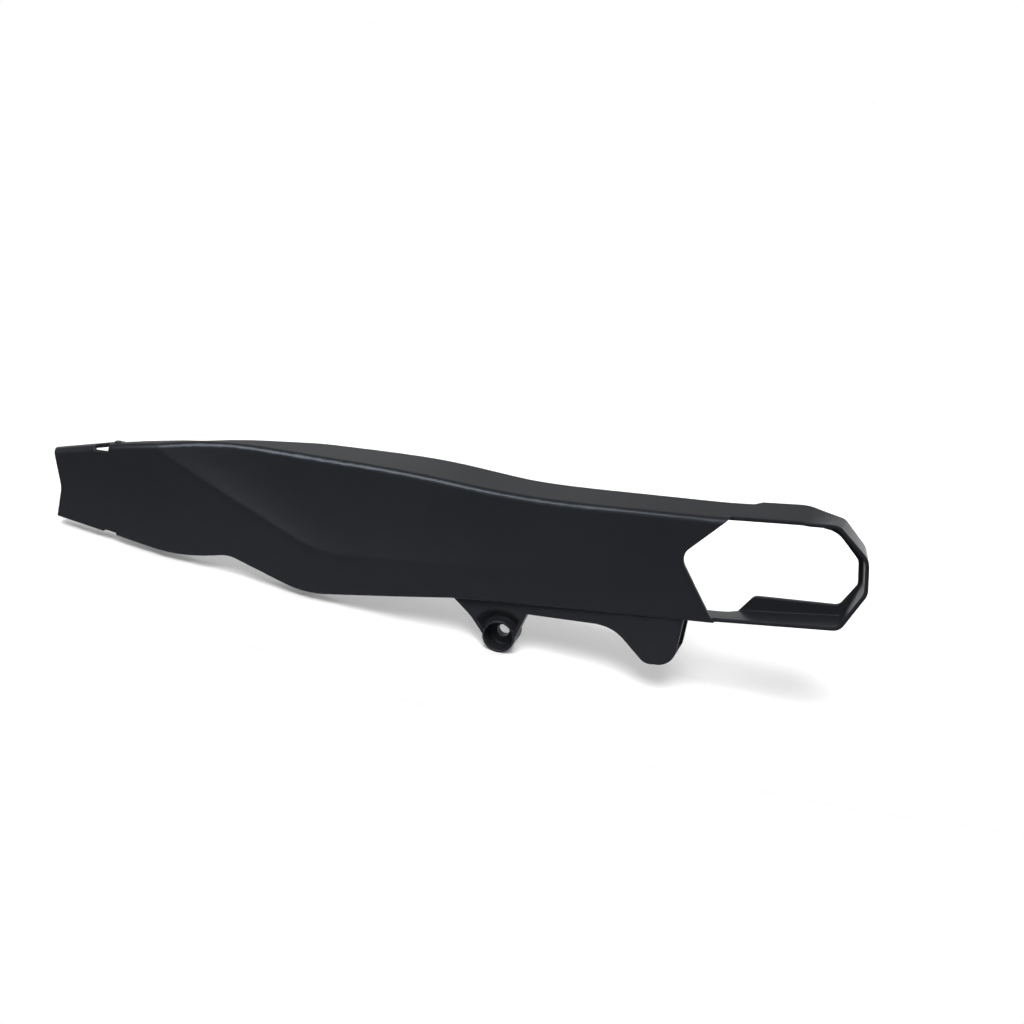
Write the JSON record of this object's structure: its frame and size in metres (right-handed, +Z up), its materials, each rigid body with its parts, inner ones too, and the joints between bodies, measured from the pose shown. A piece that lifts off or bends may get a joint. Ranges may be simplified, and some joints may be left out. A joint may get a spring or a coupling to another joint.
{
  "type": "swingarm protector",
  "caption": "Moulded channel guard for the outer side of a motorbike swingarm, with an axle ring at the rear and chain guide lugs below.",
  "frame": {"origin": "middle of the eye's wall in the front lug under the channel", "axes": "+X rearwards along the channel, +Y inboard towards the swingarm, +Z up; -Y along the eye, out of its mouth"},
  "size_m": [0.5508, 0.0371, 0.1274],
  "materials": {
    "black_plastic": "fine moulded grain, matte, with a soft sheen on the rounded edges"
  },
  "bodies": {
    "root": {"protector_shell": "black_plastic"}
  },
  "joints": []
}
